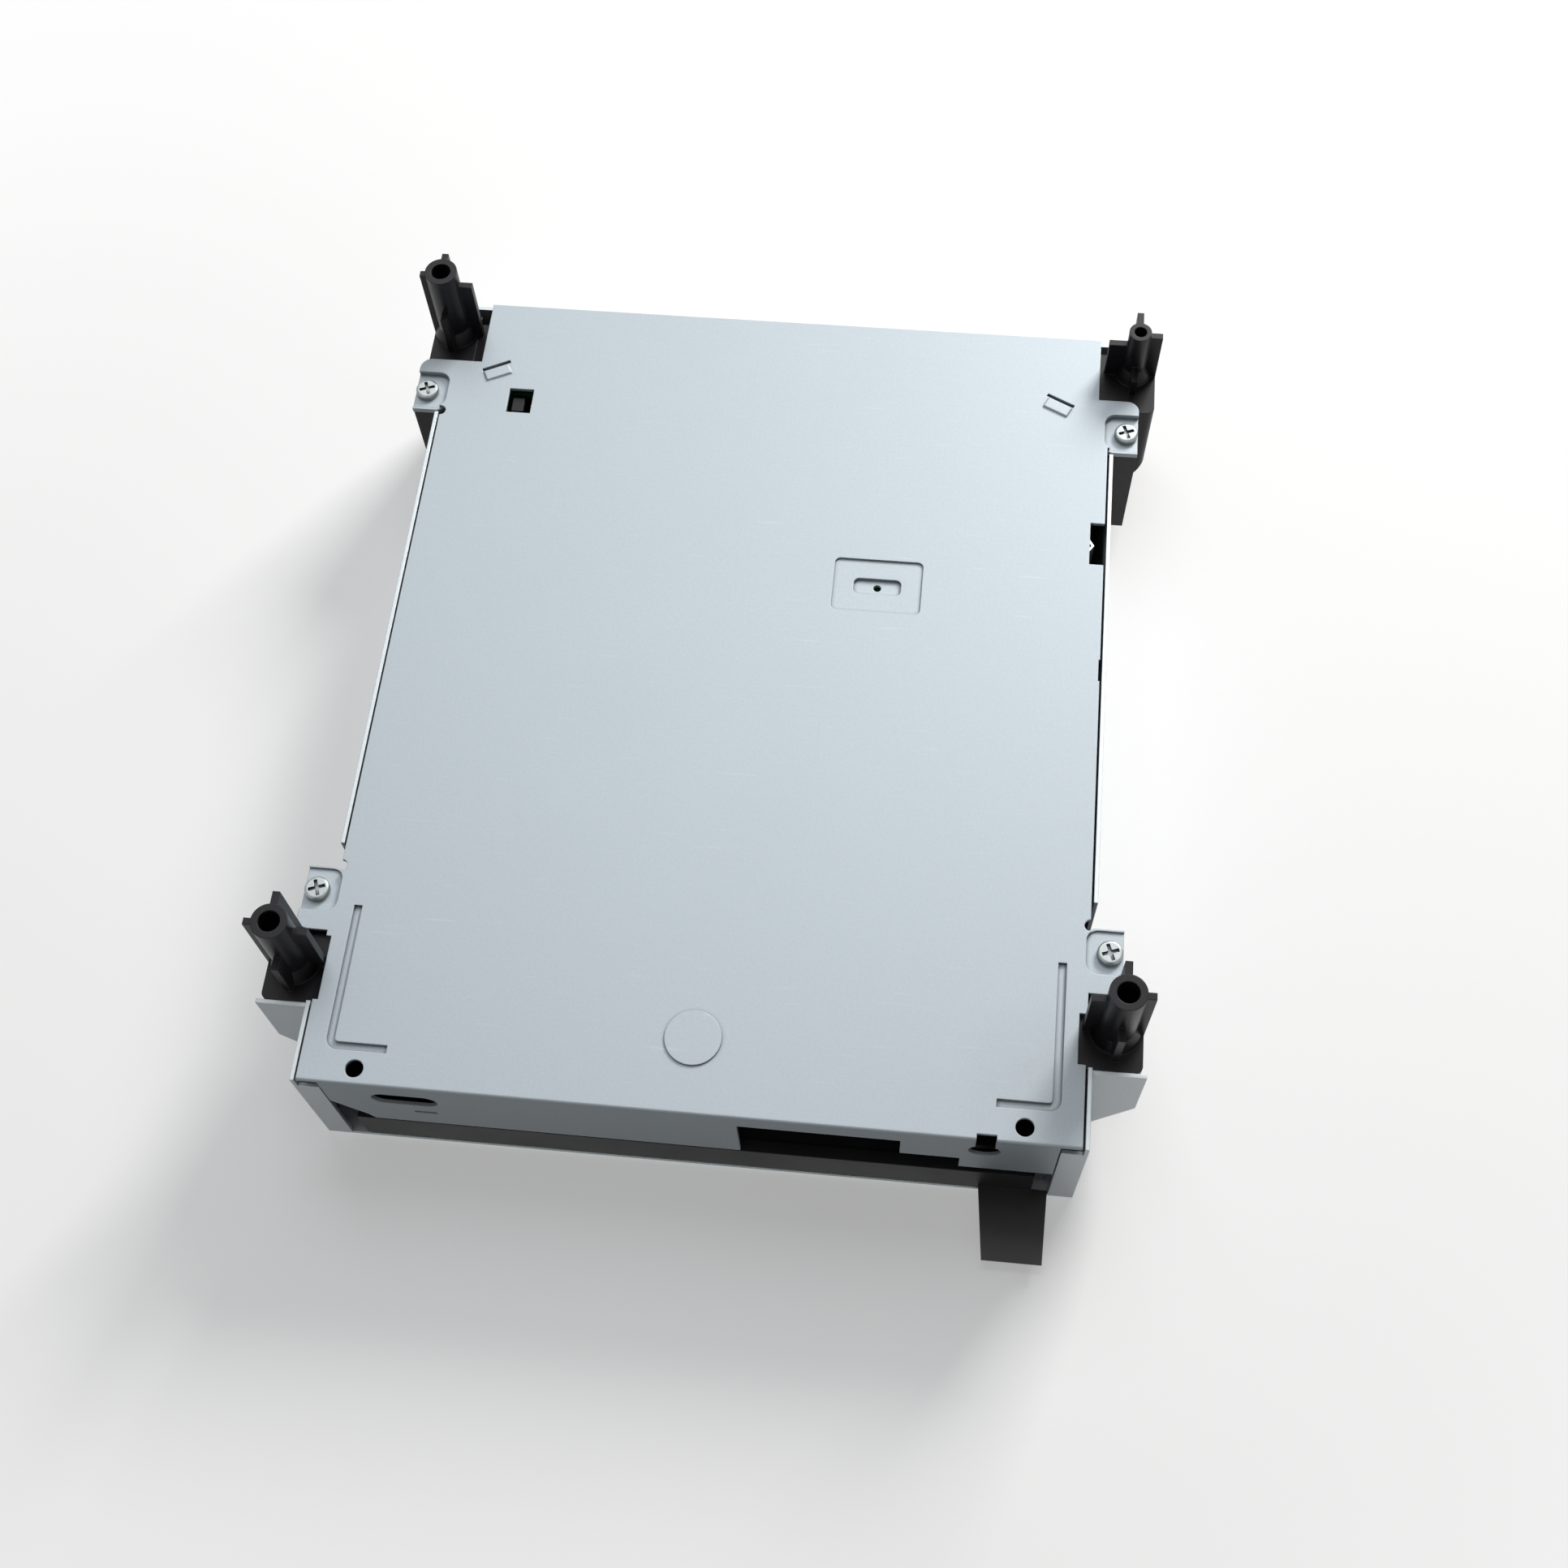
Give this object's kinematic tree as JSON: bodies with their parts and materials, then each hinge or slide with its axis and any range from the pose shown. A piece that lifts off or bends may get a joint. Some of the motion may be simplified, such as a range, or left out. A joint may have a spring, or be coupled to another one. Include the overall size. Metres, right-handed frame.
{
  "type": "console dvd drive",
  "caption": "Slot-height optical disc drive in a folded metal case with sliding tray, lifting pickup unit and plastic mounting legs with bores.",
  "frame": {"origin": "centre of the top cover's flat outer face, which the drive lies on, as seen in the picture", "axes": "+X to the right in the picture, +Y to the rear away from the tray's front, +Z out of the underside plate"},
  "size_m": [0.169, 0.1985, 0.051],
  "materials": {
    "cover_steel": "matt",
    "top_steel": "matt",
    "black_plastic": "semi-matt moulded",
    "tray_plastic": "fine texture",
    "screw_zinc": "bright zinc",
    "steel": "bare steel",
    "white_acetal": "natural moulding",
    "clear_lens": "polished",
    "rubber": "matt",
    "board": "solder mask",
    "chip": "epoxy",
    "brass": "turned",
    "magnet": "nickel",
    "diecast": "as cast",
    "white_plastic": "moulded",
    "film": "thin film",
    "cable": "laminated"
  },
  "bodies": {
    "case": {"top_cover": "top_steel", "bottom_cover": "cover_steel", "main_chassis": "black_plastic", "leg_front_left": "black_plastic", "leg_front_right": "black_plastic", "leg_rear_left": "black_plastic", "leg_rear_right": "black_plastic", "cover_screws": "screw_zinc", "clamp_bridge": "steel", "loading_motor": "steel", "drive_belt": "rubber", "main_board": "board", "board_chips": "chip", "data_socket": "black_plastic", "power_socket": "white_plastic", "power_pins": "brass", "cable_socket": "white_plastic", "flat_cable": "cable", "tray_switch": "black_plastic", "edge_spring": "steel"},
    "tray": {"disc_tray": "tray_plastic", "film_tongue": "film"},
    "gear": {"drive_gear": "white_acetal"},
    "pulley": {"pulley_gear": "white_acetal"},
    "motor": {"motor_pulley": "brass"},
    "cam": {"cam_slider": "white_acetal"},
    "lift": {"lift_frame": "black_plastic", "traverse_plate": "steel", "dampers": "rubber", "damper_screws": "steel", "spindle_motor": "steel", "guide_rods": "steel", "rod_holders": "black_plastic", "sled_motor": "steel"},
    "spindle": {"turntable": "black_plastic", "spindle_rotor": "steel"},
    "clamp": {"clamper": "black_plastic", "clamp_magnet": "magnet"},
    "sled": {"pickup_body": "diecast", "lead_nut": "white_acetal"},
    "lead": {"lead_screw": "steel"},
    "focus": {"lens_holder": "black_plastic", "lens": "clear_lens"}
  },
  "joints": [
    {"name": "tray_slide", "type": "slide", "parent": "case", "child": "tray", "axis": [0, -1, 0], "range_m": [0, 0.13]},
    {"name": "gear_spin", "type": "hinge", "parent": "case", "child": "gear", "pos_m": [0.038, -0.07, 0.0125], "axis": [0, 0, 1], "range_deg": [-640, 640]},
    {"name": "pulley_spin", "type": "hinge", "parent": "case", "child": "pulley", "pos_m": [0.02, -0.07, 0.0146], "axis": [0, 0, 1], "range_deg": [-1290, 1290]},
    {"name": "motor_spin", "type": "hinge", "parent": "case", "child": "motor", "pos_m": [-0.03, -0.07, 0.017], "axis": [0, 0, 1], "range_deg": [-4900, 4900]},
    {"name": "cam_slide", "type": "slide", "parent": "case", "child": "cam", "axis": [1, 0, 0], "range_m": [0, 0.0124]},
    {"name": "lift_tilt", "type": "hinge", "parent": "case", "child": "lift", "pos_m": [0, 0.066, 0.019], "axis": [-1, 0, 0], "range_deg": [-0.01, 4.21]},
    {"name": "turntable_spin", "type": "hinge", "parent": "lift", "child": "spindle", "pos_m": [0, -0.02, 0.01], "axis": [0, 0, 1], "continuous": true},
    {"name": "clamper_spin", "type": "hinge", "parent": "case", "child": "clamp", "pos_m": [0, -0.02, 0.004], "axis": [0, 0, 1], "continuous": true},
    {"name": "sled_slide", "type": "slide", "parent": "lift", "child": "sled", "axis": [0, 1, 0], "range_m": [0, 0.034]},
    {"name": "lead_screw_spin", "type": "hinge", "parent": "lift", "child": "lead", "pos_m": [-0.033, 0.02, 0.0153], "axis": [0, 1, 0], "range_deg": [-4090, 4090]},
    {"name": "lens_focus", "type": "slide", "parent": "sled", "child": "focus", "axis": [0, 0, 1], "range_m": [-0.0004, 0.0004], "stiffness_N_per_m": 40}
  ],
  "couplings": [
    {"joint": "gear_spin", "follows": "tray_slide", "rad_per_m": -83.333},
    {"joint": "pulley_spin", "follows": "tray_slide", "rad_per_m": 166.67},
    {"joint": "motor_spin", "follows": "tray_slide", "rad_per_m": 627.78},
    {"joint": "lift_tilt", "follows": "cam_slide", "rad_per_m": 5.9116},
    {"joint": "clamper_spin", "follows": "turntable_spin", "ratio": 1},
    {"joint": "lead_screw_spin", "follows": "sled_slide", "rad_per_m": 2094.4}
  ]
}
